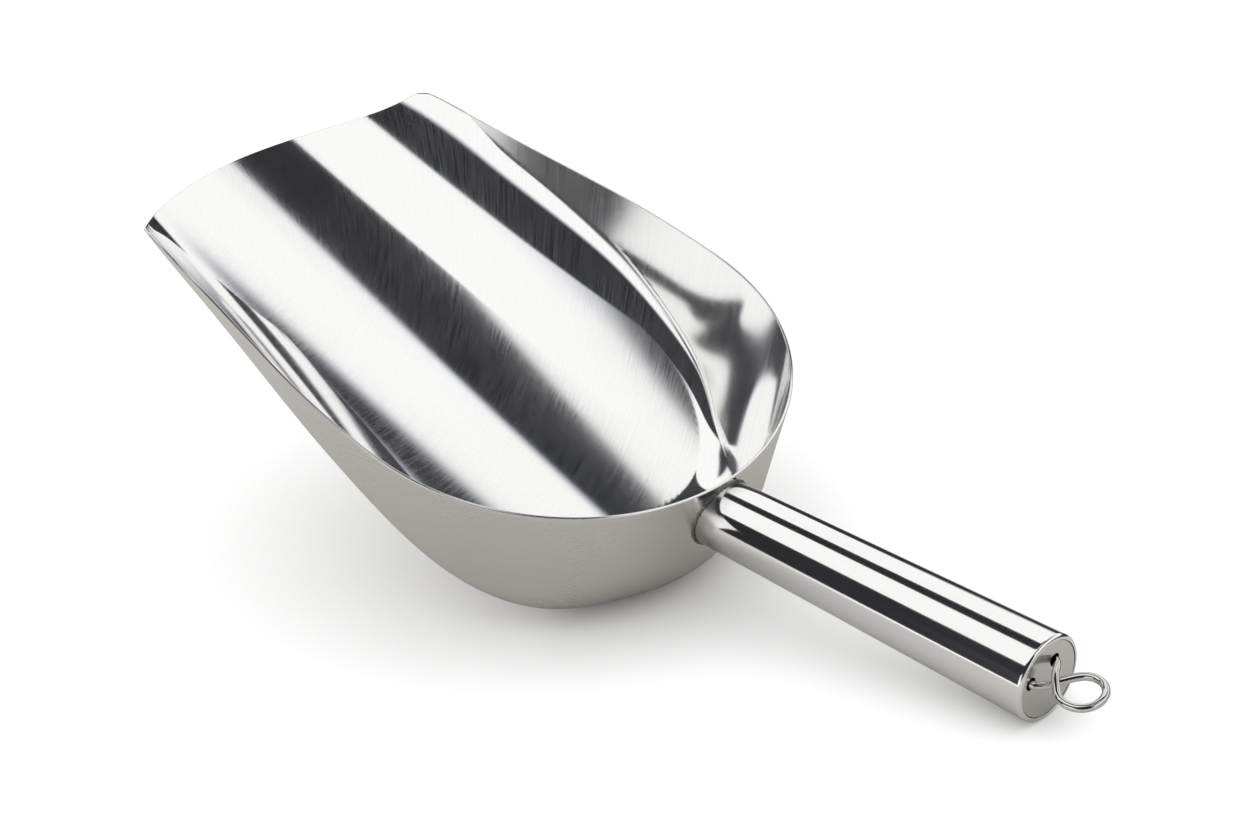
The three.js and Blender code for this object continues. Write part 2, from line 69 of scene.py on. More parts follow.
HANDLE_ANGLE = math.radians(12.08)
JOINT_X, JOINT_Z = -73.18, -14.46
HANDLE_LENGTH, R_JOINT, R_END, TUBE_WALL = 132.0, 11.3, 14.0, 1.5
TUBE_SLOPE = (R_END - R_JOINT) / HANDLE_LENGTH
CAP_THICK, CAP_SET_BACK = 1.2, 0.25
CAP_MID = HANDLE_LENGTH - CAP_SET_BACK - CAP_THICK / 2

WIRE = 2.6
RING_R, RING_OUT, CROSS_OUT = 7.0, 14.6, 5.4    # the loop's ring; distances out from the cap
LEG_SPREAD, HOOK = 5.6, 1.7
LOOP_LEFT, LOOP_UP, LOOP_TWIST = 2.7, 4.0, math.radians(-14)

PITCH = math.radians(20.79)
BOWL_ORIGIN = np.array([29.018960, 0.0, 73.149359])     # in the row frame
PITCH_MATRIX = np.array([
    [math.cos(PITCH), 0, -math.sin(PITCH)],
    [0, 1, 0],
    [math.sin(PITCH), 0, math.cos(PITCH)],
])


def to_row(points):
    """Bowl axes, mm -> row frame, metres."""
    return (np.asarray(points, float) @ PITCH_MATRIX.T + BOWL_ORIGIN) / 1000


def dir_row(vectors):
    """Turns directions from the bowl axes to the row frame."""
    return np.asarray(vectors, float) @ PITCH_MATRIX.T


# ---------------------------------------------------------------- vector and curve helpers
def unit(vectors):
    return vectors / np.linalg.norm(vectors, axis=-1, keepdims=True)


def square_to(vectors, axes):
    """Unit vectors: the part of each vector that is perpendicular to its unit axis."""
    return unit(vectors - (vectors * axes).sum(-1, keepdims=True) * axes)


def smoothstep(t):
    t = np.clip(t, 0, 1)
    return t * t * (3 - 2 * t)


def soften_ring(values, times):
    """Evens out values that run round a closed ring."""
    for _ in range(times):
        values = 0.25 * np.roll(values, 1, 0) + 0.5 * values + 0.25 * np.roll(values, -1, 0)
    return values


def resample(points, count):
    """Points evenly spaced along a polyline."""
    lengths = np.linalg.norm(np.diff(points, axis=0), axis=1)
    reached = np.r_[0, np.cumsum(lengths)]
    wanted = np.linspace(0, reached[-1], count)
    return np.stack([np.interp(wanted, reached, column) for column in points.T], axis=1)


def clamped_spline(stations, values):
    """Cubic spline, level at its first station and without curvature at its last."""
    count = len(stations)
    steps = np.diff(stations)
    slopes = np.diff(values) / steps
    matrix = np.zeros((count, count))
    target = np.zeros(count)
    matrix[0, :2] = 2 * steps[0], steps[0]
    target[0] = 6 * slopes[0]
    for i in range(1, count - 1):
        matrix[i, i - 1:i + 2] = steps[i - 1], 2 * (steps[i - 1] + steps[i]), steps[i]
        target[i] = 6 * (slopes[i] - slopes[i - 1])
    matrix[-1, -1] = 1.0
    curvature = np.linalg.solve(matrix, target)

    def evaluate(x):
        x = np.asarray(x, float)
        i = np.clip(np.searchsorted(stations, x, side="left") - 1, 0, count - 2)
        step = steps[i]
        past = x - stations[i]
        left = stations[i + 1] - x
        cubic = (curvature[i] * left ** 3 + curvature[i + 1] * past ** 3) / (6 * step)
        return (cubic + (values[i] / step - curvature[i] * step / 6) * left
                + (values[i + 1] / step - curvature[i + 1] * step / 6) * past)
    return evaluate


# ---------------------------------------------------------------- bowl surface
def angle_from_back(x, y):
    """0 towards -x, pi towards +x, the same on both sides."""
    return np.pi - np.arctan2(np.abs(y), x)


rim_spline = clamped_spline(np.radians(180 - RIM[:, 0]), RIM[:, 1])
CORNER_ANGLE = math.pi - math.atan2(CORNER_Y, CORNER_X)
CORNER_MISS = math.hypot(CORNER_X, CORNER_Y) - float(rim_spline(CORNER_ANGLE))


def rim_curve(angle):
    """Rim radius up to the corner, pulled so that it passes through the corner."""
    angle = np.asarray(angle, float)
    pull = np.maximum(0, (angle - CORNER_PULL_FROM) / (CORNER_ANGLE - CORNER_PULL_FROM)) ** 2
    return rim_spline(np.clip(angle, 0, CORNER_ANGLE)) + CORNER_MISS * pull


def rim_direction_at_corner():
    angle = CORNER_ANGLE - 0.01
    radius = float(rim_curve(angle))
    return unit(np.array([CORNER_X + radius * math.cos(angle),
                          CORNER_Y - radius * math.sin(angle)]))


RIM_RUN = rim_direction_at_corner()


def rim_radius(angle):
    """Rim radius; past the corner the rim runs on straight, so the lip end stays open."""
    angle = np.asarray(angle, float)
    facing = np.cos(angle) * RIM_RUN[1] + np.sin(angle) * RIM_RUN[0]
    meets = facing > 1e-4
    reach = -CORNER_X * RIM_RUN[1] + CORNER_Y * RIM_RUN[0]
    straight = np.where(meets, reach / np.where(meets, facing, 1), 1e4)
    return np.where(angle <= CORNER_ANGLE, rim_curve(np.minimum(angle, CORNER_ANGLE)), straight)


def inset_signed(x, y):
    """Distance inwards from the rim in plan, negative outside it."""
    angle = angle_from_back(x, y)
    radius = rim_radius(angle)
    step = 1e-3
    slope = (rim_radius(np.minimum(angle + step, np.pi))
             - rim_radius(np.maximum(angle - step, 0))) / (2 * step)
    distance = (radius - np.hypot(x, y)) * (radius / np.hypot(radius, slope))
    return np.where(radius > 5e3, 1e3, distance)


def inset(x, y):
    return np.maximum(0, inset_signed(x, y))


def wall_section(x, y):
    """Local wall: bend radius, draft, draft angle, floor depth, height of straight wall."""
    turn = smoothstep((angle_from_back(x, y) - TURN_FROM) / (TURN_TO - TURN_FROM))
    bend = BEND_BACK + (BEND_SIDE - BEND_BACK) * turn
    bend = bend + (BEND_LIP - bend) * smoothstep((x - BEND_LIP_FROM) / BEND_LIP_LENGTH)
    draft = BACK_DRAFT + (SIDE_DRAFT - BACK_DRAFT) * turn
    from_heel = x + BACK_RADIUS
    crown = CROWN_HEEL + CROWN_RISE * from_heel / 100
    floor_z = (-HEEL_DEPTH + FLOOR_RISE * from_heel
               + crown * (np.abs(y) / CROWN_WIDTH) ** CROWN_POWER)
    draft_angle = np.arctan(draft)
    straight = -floor_z - bend * (1 - np.sin(draft_angle))
    return bend, draft, draft_angle, -floor_z, straight


def bowl_z(x, y):
    """Height of the bowl's outside surface."""
    bend, draft, draft_angle, depth, straight = wall_section(x, y)
    distance = inset(x, y)
    bend_from = np.maximum(straight, 0) * draft
    bend_to = np.where(straight > 0, bend_from + bend * np.cos(draft_angle),
                       np.sqrt(np.maximum(0, bend ** 2 - (bend - depth) ** 2)))
    across = np.maximum(bend_to - distance, 0)
    arc = -depth + bend - np.sqrt(np.maximum(0, bend ** 2 - across ** 2))
    height = np.where(distance < bend_to, arc, -depth)
    return np.where((straight > 0) & (distance <= bend_from), -distance / draft, height)


def slope_inside(here, ahead, behind, ahead_out, behind_out, step):
    """Surface slope that never uses a sample from outside the rim."""
    centred = (ahead - behind) / (2 * step)
    return np.where(ahead_out, (here - behind) / step,
                    np.where(behind_out, (ahead - here) / step, centred))


def bowl_normal(x, y):
    """Upward unit normal of the outside surface."""
    step = 0.02
    here = bowl_z(x, y)
    slope_x = slope_inside(here, bowl_z(x + step, y), bowl_z(x - step, y),
                           inset(x + step, y) <= 0, inset(x - step, y) <= 0, step)
    slope_y = slope_inside(here, bowl_z(x, y + step), bowl_z(x, y - step),
                           inset(x, y + step) <= 0, inset(x, y - step) <= 0, step)
    return unit(np.stack([-slope_x, -slope_y, np.ones_like(slope_x)], -1))


def wall_inset(points):
    """Inset of the outside surface at the height of each point, on the wall and its bend."""
    bend, draft, draft_angle, depth, straight = wall_section(points[:, 0], points[:, 1])
    below = -points[:, 2]
    in_bend = np.clip(below - (depth - bend), -1e9, bend * 0.999)
    in_bend = np.maximum(in_bend, bend * np.sin(draft_angle))
    arc = (np.maximum(straight, 0) * draft + bend * np.cos(draft_angle)
           - np.sqrt(np.maximum(0, bend ** 2 - in_bend ** 2)))
    on_wall = below * draft
    return np.where(below > straight, np.maximum(on_wall, arc), on_wall)


# ---------------------------------------------------------------- mesh helpers
def grid_faces(rows, columns, close_rows=False):
    """Quads over rows of points that each close on themselves."""
    faces = []
    for i in range(rows if close_rows else rows - 1):
        here = i * columns
        after = ((i + 1) % rows) * columns
        for k in range(columns):
            beside = (k + 1) % columns
            faces.append((here + k, here + beside, after + beside, after + k))
    return faces


def face_outwards(mesh):
    """Turns all faces over if they enclose a negative volume; custom normals stay."""
    points = np.zeros(len(mesh.vertices) * 3)
    mesh.vertices.foreach_get("co", points)
    points = points.reshape(-1, 3)
    volume = 0.0
    for face in mesh.polygons:
        corners = points[list(face.vertices)]
        for i in range(1, len(corners) - 1):
            volume += float(np.dot(corners[0], np.cross(corners[i], corners[i + 1])))
    if volume >= 0:
        return
    if not mesh.has_custom_normals:
        mesh.flip_normals()
        return
    kept = [(0, 0, 1)] * len(mesh.vertices)
    for loop, normal in zip(mesh.loops, mesh.corner_normals):
        kept[loop.vertex_index] = tuple(normal.vector)
    mesh.flip_normals()
    mesh.normals_split_custom_set_from_vertices(kept)


def make_mesh(name, points, faces, normals=None, shade_smooth=True):
    mesh = bpy.data.meshes.new(name)
    mesh.from_pydata([tuple(point) for point in points], [],
                     [tuple(int(i) for i in face) for face in faces])
    mesh.validate(clean_customdata=False)
    mesh.update()
    mesh.polygons.foreach_set("use_smooth", np.full(len(mesh.polygons), shade_smooth))
    if normals is not None:
        normals = normals / np.maximum(1e-12, np.linalg.norm(normals, axis=1, keepdims=True))
        mesh.normals_split_custom_set_from_vertices([tuple(normal) for normal in normals])
    made = bpy.data.objects.new(name, mesh)
    bpy.context.scene.collection.objects.link(made)
    face_outwards(mesh)
    return made


def row_points_within(points, node_name):
    """Points in the row frame, kept inside the bounding box of a CAD node."""
    low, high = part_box(node_name)
    return np.clip(to_row(points), np.array(low), np.array(high))


# ---------------------------------------------------------------- bowl
GRID_CENTER_X = 30.0        # the rays of the bowl's mesh start here, at y = 0
LIP_STEPS, RIM_STEPS = 64, 170      # per side
BOWL_ROWS = 92
ROW_LENGTH, ROW_TURN = 2.6, 0.06    # mm and radians that cost one row each
EDGE_ROUND = 0.28
OUTSIDE_SLOT, INSIDE_SLOT, EDGE_SLOT = 0, 1, 2


def bowl_outline():
    """Closed outline in plan: lip middle, +y corner, rim to the back, mirrored return."""
    share = np.linspace(0, 1, LIP_STEPS + 1)
    lip = np.c_[CORNER_X + LIP_BULGE * (1 - share ** LIP_POWER), share * CORNER_Y]
    angle = np.linspace(CORNER_ANGLE, 0, 4001)
    radius = rim_curve(angle)
    rim = resample(np.c_[-radius * np.cos(angle), radius * np.sin(angle)], RIM_STEPS + 1)
    rim[-1] = (-BACK_RADIUS, 0)
    side = np.r_[lip, rim[1:]]
    # ease the lip's corner
    for _ in range(3):
        for j in (LIP_STEPS - 1, LIP_STEPS, LIP_STEPS + 1):
            side[j] = 0.25 * side[j - 1] + 0.5 * side[j] + 0.25 * side[j + 1]
    return np.r_[side, (side[1:-1] * [1, -1])[::-1]]


def ray_points(outline, fractions):
    """Plan points at fractions of the way from the grid centre to the outline."""
    x = GRID_CENTER_X + (outline[:, :1] - GRID_CENTER_X) * fractions
    return x, outline[:, 1:] * fractions


def row_fractions(outline):
    """Row places along each ray, closer together where the surface bends."""
    fine = 1 - (1 - np.linspace(0, 1, 700)) ** 2
    x, y = ray_points(outline, fine[None])
    steps = np.diff(np.stack([x, y, bowl_z(x, y)], -1), axis=1)
    lengths = np.linalg.norm(steps, axis=2)
    heading = steps / np.maximum(lengths, 1e-12)[..., None]
    turns = np.arccos(np.clip((heading[:, 1:] * heading[:, :-1]).sum(-1), -1, 1))
    start = np.zeros(len(outline))
    turns = np.c_[start, turns]
    cost = np.c_[start, np.cumsum(lengths / ROW_LENGTH + turns / ROW_TURN, axis=1)]
    fractions = np.array([
        np.interp(np.linspace(0, ray[-1], BOWL_ROWS + 1)[1:], ray, fine) for ray in cost])
    # neighbouring rays share their spacing, so that the grid stays even
    fractions = soften_ring(fractions, 6)
    fractions[:, -1] = 1
    return fractions


def bowl_piece():
    outline = bowl_outline()
    columns = len(outline)
    # the last row is sampled just inside the rim, then put exactly on it
    x, y = ray_points(outline, np.minimum(row_fractions(outline), 0.99995))
    surface = np.stack([x, y, bowl_z(x, y)], -1)
    upward = bowl_normal(x, y)
    surface[:, -1, :2] = outline

    rim, rim_up = surface[:, -1], upward[:, -1]
    outward = square_to(unit(rim - surface[:, -2]), rim_up)
    rows = [surface[:, j] for j in range(BOWL_ROWS - 1)]
    normals = [-upward[:, j] for j in range(BOWL_ROWS - 1)]
    # the sheet's edge: a quarter round at its outside, then one at its inside
    for lift, angles in ((EDGE_ROUND, np.linspace(-90, 0, 5)),
                         (SHEET - EDGE_ROUND, np.linspace(0, 90, 5))):
        for angle in np.radians(angles):
            normal = outward * math.cos(angle) + rim_up * math.sin(angle)
            rows.append(rim + rim_up * lift - outward * EDGE_ROUND + EDGE_ROUND * normal)
            normals.append(normal)
    inside_from = len(rows)
    for j in range(BOWL_ROWS - 2, -1, -1):
        rows.append(surface[:, j] + upward[:, j] * SHEET)
        normals.append(upward[:, j])

    # one middle point closes each side of the sheet
    middle_x, middle_y = np.array([GRID_CENTER_X]), np.zeros(1)
    middle_up = bowl_normal(middle_x, middle_y)[0]
    middle = np.array([GRID_CENTER_X, 0, bowl_z(middle_x, middle_y)[0]])
    faces = grid_faces(len(rows), columns)
    count = len(rows) * columns
    last = count - columns
    for k in range(columns):
        beside = (k + 1) % columns
        faces.append((count, beside, k))
        faces.append((count + 1, last + k, last + beside))
    points = np.concatenate(rows + [[middle, middle + middle_up * SHEET]])
    normals = np.concatenate(normals + [[-middle_up, middle_up]])
    made = make_mesh("bowl_shell", row_points_within(points, "scoop_bowl"), faces,
                     dir_row(normals))

    slots = np.zeros(len(made.data.polygons), np.int32)
    for face in made.data.polygons:
        row = max(i for i in face.vertices if i < count) // columns
        if row < BOWL_ROWS - 1:
            slots[face.index] = OUTSIDE_SLOT
        else:
            slots[face.index] = EDGE_SLOT if row < inside_from else INSIDE_SLOT
    made.data.polygons.foreach_set("material_index", slots)
    return made


# ---------------------------------------------------------------- handle tube
TUBE_OUT = np.array([-math.cos(HANDLE_ANGLE), 0, math.sin(HANDLE_ANGLE)])   # along the tube
TUBE_RIGHT = np.array([0, -1.0, 0])
TUBE_DOWN = np.cross(TUBE_RIGHT, TUBE_OUT)
TUBE_START = np.array([JOINT_X, 0, JOINT_Z])
TUBE_END_ROUND = 1.4


def tube_radius(along):
    return R_JOINT + (R_END - R_JOINT) * along / HANDLE_LENGTH


def tube_points(radius, along, turn):
    """Points round the tube's axis; turn runs from right to down."""
    along = np.broadcast_to(along, turn.shape)
    return (TUBE_START + along[:, None] * TUBE_OUT
            + (radius * np.cos(turn))[:, None] * TUBE_RIGHT
            + (radius * np.sin(turn))[:, None] * TUBE_DOWN)


def joint_along(turn, grow):
    """Where lines along the tube meet the outside of the back wall, grown by `grow`."""
    low = np.full(len(turn), -9.0)
    high = np.full(len(turn), 14.0)
    for _ in range(46):
        middle = (low + high) / 2
        points = tube_points(tube_radius(middle), middle, turn)
        inside = inset_signed(points[:, 0], points[:, 1]) + grow - wall_inset(points) > 0
        low = np.where(inside, middle, low)
        high = np.where(inside, high, middle)
    return (low + high) / 2


def tube_piece():
    columns = 160
    turn = np.linspace(0, 2 * np.pi, columns, endpoint=False)
    start = joint_along(turn, grow=0.3)
    rows, normals = [], []

    def ring(radius, along, normal_out, normal_along):
        rows.append(tube_points(radius, along, turn))
        normals.append((normal_out * np.cos(turn))[:, None] * TUBE_RIGHT
                       + (normal_out * np.sin(turn))[:, None] * TUBE_DOWN
                       + normal_along * TUBE_OUT)

    # outside, from the joint to the rounded end
    ring(tube_radius(start) - 0.3, start - 0.02, 0, -1.0)
    ring(tube_radius(start), start, 1.0, -TUBE_SLOPE)
    for share in np.linspace(0, 1, 60)[1:]:
        along = start + (HANDLE_LENGTH - TUBE_END_ROUND - start) * share
        ring(tube_radius(along), along, 1.0, -TUBE_SLOPE)
    for angle in np.radians(np.linspace(0, 90, 10)[1:]):
        out, onward = math.cos(angle), math.sin(angle)
        ring(R_END - TUBE_END_ROUND * (1 - out), HANDLE_LENGTH - TUBE_END_ROUND * (1 - onward),
             out, onward)
    # over the wall's end and down to the cap's seat
    bore = R_END - TUBE_WALL
    seat = HANDLE_LENGTH - CAP_SET_BACK - CAP_THICK
    ring(bore + 0.08, HANDLE_LENGTH, 0, 1.0)
    ring(bore + 0.04, HANDLE_LENGTH - 0.05, -0.7, 0.7)
    ring(bore, HANDLE_LENGTH - 0.15, -1.0, 0.0)
    ring(bore - 0.02, seat, -1.0, 0.0)
    # bore, back to the joint
    for share in np.linspace(0, 1, 12)[1:]:
        along = seat + (start - seat) * share
        ring(tube_radius(along) - TUBE_WALL, along, -1.0, TUBE_SLOPE)
    faces = grid_faces(len(rows), columns, close_rows=True)
    points = row_points_within(np.concatenate(rows), "handle_tube")
    return make_mesh("handle_tube_polished", points, faces, dir_row(np.concatenate(normals)))


# ---------------------------------------------------------------- weld bead
PUDDLES = 46
PUDDLE_WIDTH = 0.085        # radians round the joint
BEAD_LIFT = 0.12            # of the bead's centre line, away from the tube


def weld_piece():
    """Irregular bead of overlapping puddles round the joint."""
    rows, columns = 320, 14
    random = np.random.RandomState(7)
    turn = np.linspace(0, 2 * np.pi, rows, endpoint=False)
    shift = random.uniform(-0.28, 0.28, PUDDLES)
    centers = np.sort((np.arange(PUDDLES) + shift) * 2 * np.pi / PUDDLES)
    size = 0.62 + 0.42 * random.rand(PUDDLES)
    away = np.angle(np.exp(1j * (turn[:, None] - centers[None])))
    bump = (size[None] * np.exp(-(away / PUDDLE_WIDTH) ** 2)).max(1)
    radius = soften_ring(0.20 + 0.42 * bump, 2)

    along = joint_along(turn, grow=0.0)
    path = tube_points(tube_radius(along) + 0.1, along, turn)
    heading = unit(np.roll(path, -1, 0) - np.roll(path, 1, 0))
    outward = np.cos(turn)[:, None] * TUBE_RIGHT + np.sin(turn)[:, None] * TUBE_DOWN
    outward = square_to(outward, heading)
    sideways = np.cross(heading, outward)
    wobble = 0.16 * np.sin(turn * 23 + 1.3) + 0.1 * np.sin(turn * 41)
    points = []
    for i in range(rows):
        center = path[i] + outward[i] * BEAD_LIFT + sideways[i] * wobble[i] * 0.5
        for j in range(columns):
            angle = 2 * math.pi * j / columns
            normal = math.cos(angle) * outward[i] + math.sin(angle) * sideways[i]
            points.append(center + normal * radius[i])
    return make_mesh("weld_bead", to_row(points), grid_faces(rows, columns, close_rows=True))


# ---------------------------------------------------------------- end cap and loop
LOOP_SIDE = math.cos(LOOP_TWIST) * TUBE_RIGHT + math.sin(LOOP_TWIST) * TUBE_DOWN
LOOP_FACE = np.cross(LOOP_SIDE, TUBE_OUT)
LOOP_OFFSET = -LOOP_LEFT * TUBE_RIGHT - LOOP_UP * TUBE_DOWN
LOOP_START = TUBE_START + LOOP_OFFSET + CAP_MID * TUBE_OUT

CAP_RADIUS = R_END - TUBE_WALL - 0.06
CAP_HOLE = 2.1
CAP_GRID = 1.6      # spacing of the points between the outline and the holes


def cap_piece():
    """Disc with two round holes for the loop's legs."""
    points, edges = [], []

    def add_circle(x, z, radius, count):
        first = len(points)
        for i in range(count):
            angle = 2 * math.pi * i / count
            points.append(Vector((x + radius * math.cos(angle), z + radius * math.sin(angle))))
            edges.append((first + i, first + (i + 1) % count))

    add_circle(0, 0, CAP_RADIUS - 0.12, 120)
    holes = []
    for side in (-1, 1):
        leg = LOOP_SIDE * side * LEG_SPREAD + LOOP_OFFSET
        holes.append((float(leg @ TUBE_RIGHT), float(leg @ TUBE_DOWN)))
        add_circle(*holes[-1], CAP_HOLE, 36)

    def hole_distance(x, z):
        return min(math.hypot(x - hole[0], z - hole[1]) for hole in holes)

    for radius in np.arange(CAP_GRID, CAP_RADIUS - 1.2, CAP_GRID):
        count = int(2 * math.pi * radius / CAP_GRID)
        for i in range(count):
            angle = 2 * math.pi * i / count + radius
            x, z = radius * math.cos(angle), radius * math.sin(angle)
            if hole_distance(x, z) > CAP_HOLE + 0.5:
                points.append(Vector((x, z)))

    result = delaunay_2d_cdt(points, edges, [], 0, 1e-5)
    flat = [(point.x, point.y) for point in result[0]]
    kept = []
    for face in result[2]:
        center = [sum(flat[i][axis] for i in face) / len(face) for axis in (0, 1)]
        if hole_distance(*center) >= CAP_HOLE * 0.99:
            kept.append(tuple(face))
    count = len(flat)
    solid = [TUBE_START + x * TUBE_RIGHT + along * TUBE_OUT + z * TUBE_DOWN
             for along in (CAP_MID + CAP_THICK / 2, CAP_MID - CAP_THICK / 2)
             for x, z in flat]
    faces = kept + [tuple(count + i for i in reversed(face)) for face in kept]
    # side walls stand on the edges that only one face uses
    directed = dict.fromkeys(
        (face[i], face[(i + 1) % len(face)]) for face in kept for i in range(len(face)))
    for i, j in directed:
        if (j, i) not in directed:
            faces.append((j, i, count + i, count + j))
    made = make_mesh("end_cap_disc", row_points_within(solid, "end_cap"), faces,
                     shade_smooth=False)
    bevel = made.modifiers.new("edge", "BEVEL")
    bevel.width = 0.00012
    bevel.segments = 2
    bevel.limit_method = "ANGLE"
    return made


def catmull_rom(points, steps=40):
    """Centripetal Catmull-Rom curve through the points."""
    def between(first, second, start, end, t):
        return (end - t) / (end - start) * first + (t - start) / (end - start) * second

    points = [np.array(point, float) for point in points]
    points = [2 * points[0] - points[1]] + points + [2 * points[-1] - points[-2]]
    curve = []
    for i in range(1, len(points) - 2):
        near = points[i - 1:i + 3]
        knots = [0.0]
        for k in range(3):
            knots.append(knots[-1] + np.linalg.norm(near[k + 1] - near[k]) ** 0.5)
        for t in np.linspace(knots[1], knots[2], steps, endpoint=False):
            lines = [between(near[k], near[k + 1], knots[k], knots[k + 1], t)
                     for k in range(3)]
            arcs = [between(lines[k], lines[k + 1], knots[k], knots[k + 2], t)
                    for k in range(2)]
            curve.append(between(*arcs, knots[1], knots[2], t))
    curve.append(points[-2])
    return np.array(curve)


def loop_path():
    """Wire's centre line: x across the legs, y out from the cap, z across the wires."""
    lift = WIRE / 2 + 0.2       # keeps the wires apart where they cross
    leg = [
        (-LEG_SPREAD - HOOK, -3.2, 0),
        (-LEG_SPREAD - HOOK * 0.45, -2.95, 0),
        (-LEG_SPREAD, -1.9, 0),
        (-LEG_SPREAD, 0, 0),
        (-LEG_SPREAD + 0.35, 1.6, 0.2),
        (-LEG_SPREAD * 0.52, 3.7, lift * 0.75),
        (0, CROSS_OUT, lift),
    ]
    opening = math.acos(RING_R / (RING_OUT - CROSS_OUT))
    first, last = -math.pi / 2 + opening, 1.5 * math.pi - opening
    steps = 13
    ring = []
    for i in range(steps + 1):
        share = i / steps
        angle = first + (last - first) * share
        ring.append((RING_R * math.cos(angle), RING_OUT + RING_R * math.sin(angle),
                     lift * math.cos(math.pi * share) * 0.9))
    other_leg = [(-x, y, -z) for x, y, z in reversed(leg)]
    return catmull_rom(leg + ring + other_leg)


def loop_piece():
    path = loop_path()
    for _ in range(3):
        path[1:-1] = 0.25 * path[:-2] + 0.5 * path[1:-1] + 0.25 * path[2:]
    path = resample(path, 420)
    heading = unit(np.gradient(path, axis=0))
    # two cross directions, carried along the wire without twist
    across = unit(np.cross(heading[0], [0, 0, 1.0]))
    crosses = []
    for direction in heading:
        across = square_to(across, direction)
        crosses.append((across, np.cross(direction, across)))

    columns = 28
    radius = WIRE / 2
    bulge = 0.35 * radius       # of the rounded wire ends
    last = len(path) - 1
    # stations: index on the path, angle over the rounded end, direction of that end
    stations = [(0, math.radians(angle), -1) for angle in (80, 60, 40, 20)]
    stations += [(i, 0.0, 1) for i in range(len(path))]
    stations += [(last, math.radians(angle), 1) for angle in (20, 40, 60, 80)]
    points, normals = [], []
    for i, angle, end in stations:
        for j in range(columns):
            turn = 2 * math.pi * j / columns
            outward = math.cos(turn) * crosses[i][0] + math.sin(turn) * crosses[i][1]
            points.append(path[i] + outward * radius * math.cos(angle)
                          + heading[i] * end * (bulge * math.sin(angle)))
            normals.append(outward * math.cos(angle) + heading[i] * end * math.sin(angle))
    faces = grid_faces(len(stations), columns)
    count = len(points)
    last_ring = count - columns
    points += [path[0] - heading[0] * bulge, path[-1] + heading[-1] * bulge]
    normals += [-heading[0], heading[-1]]
    for j in range(columns):
        beside = (j + 1) % columns
        faces.append((count, beside, j))
        faces.append((count + 1, last_ring + j, last_ring + beside))
    axes = np.stack([LOOP_SIDE, TUBE_OUT, LOOP_FACE])
    placed = row_points_within(LOOP_START + np.array(points) @ axes, "hanging_loop")
    return make_mesh("hanging_loop_wire", placed, faces, dir_row(np.array(normals) @ axes))


# ---------------------------------------------------------------- shader helpers
MIX_A, MIX_B, MIX_COLOR = 6, 7, 2       # colour sockets of a Mix node: two inputs, output


class Graph:
    """Adds nodes to a node tree; an input may be a value or another node's output."""

    def __init__(self, tree):
        self.tree = tree

    def add(self, kind, inputs=None, **settings):
        made = self.tree.nodes.new("ShaderNode" + kind)
        for name, value in settings.items():
            setattr(made, name, value)
        self.feed(made, inputs or {})
        return made

    def feed(self, target, inputs):
        for key, value in inputs.items():
            if isinstance(value, bpy.types.NodeSocket):
                self.tree.links.new(value, target.inputs[key])
            else:
                target.inputs[key].default_value = value

    def math(self, operation, *values, clamp=False):
        made = self.add("Math", dict(enumerate(values)), operation=operation, use_clamp=clamp)
        return made.outputs[0]

    def plus(self, first, second):
        return self.math("ADD", first, second)

    def minus(self, first, second):
        return self.math("SUBTRACT", first, second)

    def times(self, first, second, clamp=False):
        return self.math("MULTIPLY", first, second, clamp=clamp)

    def vector(self, operation, inputs):
        return self.add("VectorMath", inputs, operation=operation).outputs

    def mix_color(self, factor, first, second):
        inputs = {0: factor, MIX_A: first, MIX_B: second}
        return self.add("Mix", inputs, data_type="RGBA").outputs[MIX_COLOR]

    def smoothstep(self, value, low, high, at_low=0.0, at_high=1.0):
        inputs = {"Value": value, "From Min": low, "From Max": high,
                  "To Min": at_low, "To Max": at_high}
        return self.add("MapRange", inputs, interpolation_type="SMOOTHSTEP").outputs[0]

    def streaks(self, vector, scale, stretch, detail, roughness):
        """Noise drawn out along the axes where stretch is small."""
        mapped = self.add("Mapping", {"Scale": stretch, "Vector": vector}).outputs[0]
        inputs = {"Scale": scale, "Detail": detail, "Roughness": roughness, "Vector": mapped}
        return self.add("TexNoise", inputs).outputs["Fac"]


# ---------------------------------------------------------------- steel finishes
def tones_of(color):
    """Dark and light tone of the brush marks in a steel of this colour."""
    return [c * 0.93 for c in color], [min(1, c * 1.05) for c in color]


def arc_coordinates(graph, vector, center):
    """Radius and angle round a point in the bowl's plan, and the direction away from it."""
    origin = tuple(to_row([center[0], center[1], -40.0]))
    offset = graph.vector("SUBTRACT", {0: vector, 1: origin})[0]
    lengths, parts = [], []
    for axis in (tuple(dir_row([1.0, 0, 0])), tuple(dir_row([0, 1.0, 0]))):
        length = graph.vector("DOT_PRODUCT", {0: offset, 1: axis})["Value"]
        lengths.append(length)
        parts.append(graph.vector("SCALE", {0: axis, "Scale": length})[0])
    squares = [graph.times(length, length) for length in lengths]
    radius = graph.math("SQRT", graph.plus(*squares))
    angle = graph.math("ARCTAN2", lengths[1], graph.times(lengths[0], -1.0))
    polar = graph.add("CombineXYZ", {0: radius, 1: angle}).outputs[0]
    away = graph.vector("ADD", {0: parts[0], 1: parts[1]})[0]
    away = graph.add("VectorTransform", {0: away}, vector_type="VECTOR",
                     convert_from="OBJECT", convert_to="WORLD").outputs[0]
    return polar, graph.vector("NORMALIZE", {0: away})[0]


